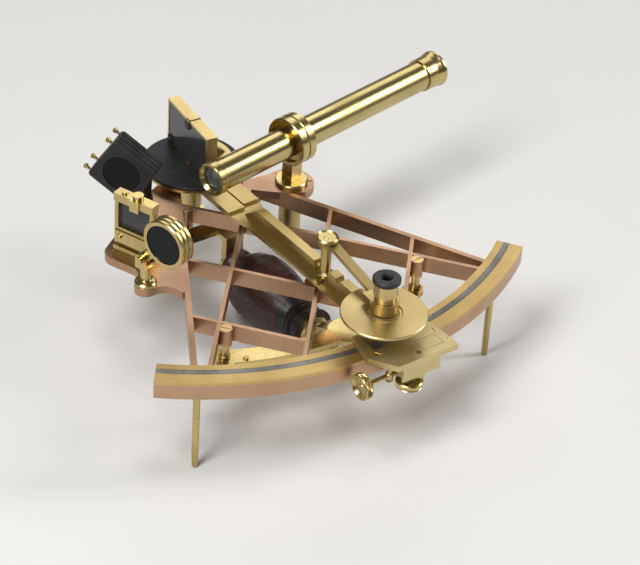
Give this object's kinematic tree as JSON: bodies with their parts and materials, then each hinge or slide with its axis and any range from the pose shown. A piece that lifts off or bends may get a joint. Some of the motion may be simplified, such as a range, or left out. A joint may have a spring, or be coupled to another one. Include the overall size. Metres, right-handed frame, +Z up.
{
  "type": "nautical sextant",
  "caption": "Three-legged lattice-frame nautical sextant with swinging index arm, mirrors, shades, straight telescope, swinging magnifier and turned handle.",
  "frame": {"origin": "centre of the centre leg's foot, on the index arm's axis, in the plane that the three feet stand on", "axes": "+Z up along the index axis, -Y from the index axis towards the middle of the limb, +X towards the telescope's eyepiece side"},
  "size_m": [0.2841, 0.2473, 0.1107],
  "materials": {
    "copper": "lacquered gunmetal, copper coloured",
    "brass": "polished",
    "steel": "turned",
    "silver": "satin silver, engraved",
    "black_brass": "black bronzed brass",
    "wood": "oiled dark hardwood",
    "mirror": "silvered glass",
    "lens": "clear",
    "shade": "deep neutral shade glass",
    "black": "black horn"
  },
  "bodies": {
    "frame": {"frame_radial_bars": "copper", "frame_lattice_bars": "copper", "frame_plates": "copper", "frame_bosses": "copper", "frame_screws": "brass", "handle_pillars": "brass", "limb": "copper", "limb_overlay": "brass", "scale_strip": "silver", "legs": "brass", "index_bush": "brass", "telescope_socket": "brass", "horizon_mirror_frame": "brass", "horizon_glass": "mirror", "horizon_mirror_clips": "brass", "horizon_shade_post": "brass", "index_shade_bracket": "brass", "handle_grip": "wood", "handle_rod": "brass", "handle_lower_strap": "brass", "handle_upper_bracket": "brass"},
    "index_arm": {"index_arm": "brass", "index_spindle": "steel", "mirror_table": "black_brass", "index_mirror_tray": "brass", "index_mirror_glass": "mirror", "index_mirror_clips": "black_brass", "mirror_bracket": "brass", "vernier_frame": "brass", "vernier_scale": "silver", "index_arm_fittings": "brass", "magnifier_post": "brass"},
    "clamp_block": {"clamp_block": "brass"},
    "clamp_screw": {"clamp_screw": "brass"},
    "tangent_screw": {"tangent_screw": "brass"},
    "magnifier_arm": {"magnifier_arm": "brass"},
    "magnifier": {"magnifier_tube": "brass", "magnifier_reflector": "brass", "magnifier_lens": "lens", "magnifier_eyecap": "black"},
    "telescope": {"telescope_stem": "brass", "telescope_tube": "brass", "objective_lens": "lens"},
    "eyepiece": {"eyepiece_draw_tube": "brass", "eyepiece_lens": "lens"},
    "raising_screw": {"raising_screw": "brass"},
    "index_shade_1": {"index_shade_leaf_1": "black_brass", "index_shade_glass_1": "shade"},
    "index_shade_2": {"index_shade_leaf_2": "black_brass", "index_shade_glass_2": "shade"},
    "index_shade_3": {"index_shade_leaf_3": "black_brass", "index_shade_glass_3": "shade"},
    "index_shade_4": {"index_shade_leaf_4": "black_brass", "index_shade_glass_4": "shade"},
    "horizon_shade_1": {"horizon_shade_ring_1": "brass", "horizon_shade_glass_1": "shade"},
    "horizon_shade_2": {"horizon_shade_ring_2": "brass", "horizon_shade_glass_2": "shade"},
    "horizon_shade_3": {"horizon_shade_ring_3": "brass", "horizon_shade_glass_3": "shade"}
  },
  "joints": [
    {"name": "index_arm_swing", "type": "hinge", "parent": "frame", "child": "index_arm", "pos_m": [0, 0, 0.06], "axis": [0, 0, 1], "range_deg": [-32, 28]},
    {"name": "tangent_screw_turn", "type": "hinge", "parent": "index_arm", "child": "tangent_screw", "pos_m": [-0.01217, -0.2089, 0.0562], "axis": [0.9993, 0.0375, 0], "range_deg": [-1310, 1310]},
    {"name": "clamp_travel", "type": "hinge", "parent": "index_arm", "child": "clamp_block", "pos_m": [0, 0, 0.06], "axis": [0, 0, 1], "range_deg": [-0.5, 0.5]},
    {"name": "clamp_screw_turn", "type": "hinge", "parent": "clamp_block", "child": "clamp_screw", "pos_m": [0.00662, -0.2109, 0.0512], "axis": [0, 0, 1], "range_deg": [-720, 0]},
    {"name": "magnifier_swing", "type": "hinge", "parent": "index_arm", "child": "magnifier_arm", "pos_m": [0.00492, -0.13091, 0.0902], "axis": [0, 0, 1], "range_deg": [-25, 25]},
    {"name": "magnifier_focus", "type": "slide", "parent": "magnifier_arm", "child": "magnifier", "axis": [0, 0, 1], "range_m": [-0.0025, 0.0006]},
    {"name": "telescope_rise", "type": "slide", "parent": "frame", "child": "telescope", "axis": [0, 0, 1], "range_m": [-0.004, 0.006]},
    {"name": "raising_screw_turn", "type": "hinge", "parent": "frame", "child": "raising_screw", "pos_m": [0.044, -0.0386, 0.02], "axis": [0, 0, 1], "range_deg": [-2170, 1450]},
    {"name": "eyepiece_draw", "type": "slide", "parent": "telescope", "child": "eyepiece", "axis": [0.9813, 0.1925, 0], "range_m": [0, 0.012]},
    {"name": "index_shade_turn_1", "type": "hinge", "parent": "frame", "child": "index_shade_1", "pos_m": [-0.04535, -0.0201, 0.0662], "axis": [-0.7826, -0.6225, 0], "range_deg": [-50, 10]},
    {"name": "index_shade_turn_2", "type": "hinge", "parent": "frame", "child": "index_shade_2", "pos_m": [-0.04535, -0.0201, 0.0662], "axis": [-0.7826, -0.6225, 0], "range_deg": [-50, 10]},
    {"name": "index_shade_turn_3", "type": "hinge", "parent": "frame", "child": "index_shade_3", "pos_m": [-0.04535, -0.0201, 0.0662], "axis": [-0.7826, -0.6225, 0], "range_deg": [-50, 10]},
    {"name": "index_shade_turn_4", "type": "hinge", "parent": "frame", "child": "index_shade_4", "pos_m": [-0.04535, -0.0201, 0.0662], "axis": [-0.7826, -0.6225, 0], "range_deg": [-50, 10]},
    {"name": "horizon_shade_turn_1", "type": "hinge", "parent": "frame", "child": "horizon_shade_1", "pos_m": [-0.0797, -0.0816, 0.0807], "axis": [0.9511, 0.309, 0], "range_deg": [-99, 5]},
    {"name": "horizon_shade_turn_2", "type": "hinge", "parent": "frame", "child": "horizon_shade_2", "pos_m": [-0.0797, -0.0816, 0.0807], "axis": [0.9511, 0.309, 0], "range_deg": [-99, 5]},
    {"name": "horizon_shade_turn_3", "type": "hinge", "parent": "frame", "child": "horizon_shade_3", "pos_m": [-0.0797, -0.0816, 0.0807], "axis": [0.9511, 0.309, 0], "range_deg": [-99, 5]}
  ],
  "couplings": [
    {"joint": "tangent_screw_turn", "follows": "clamp_travel", "ratio": -2617.6},
    {"joint": "raising_screw_turn", "follows": "telescope_rise", "rad_per_m": -6283.2}
  ]
}
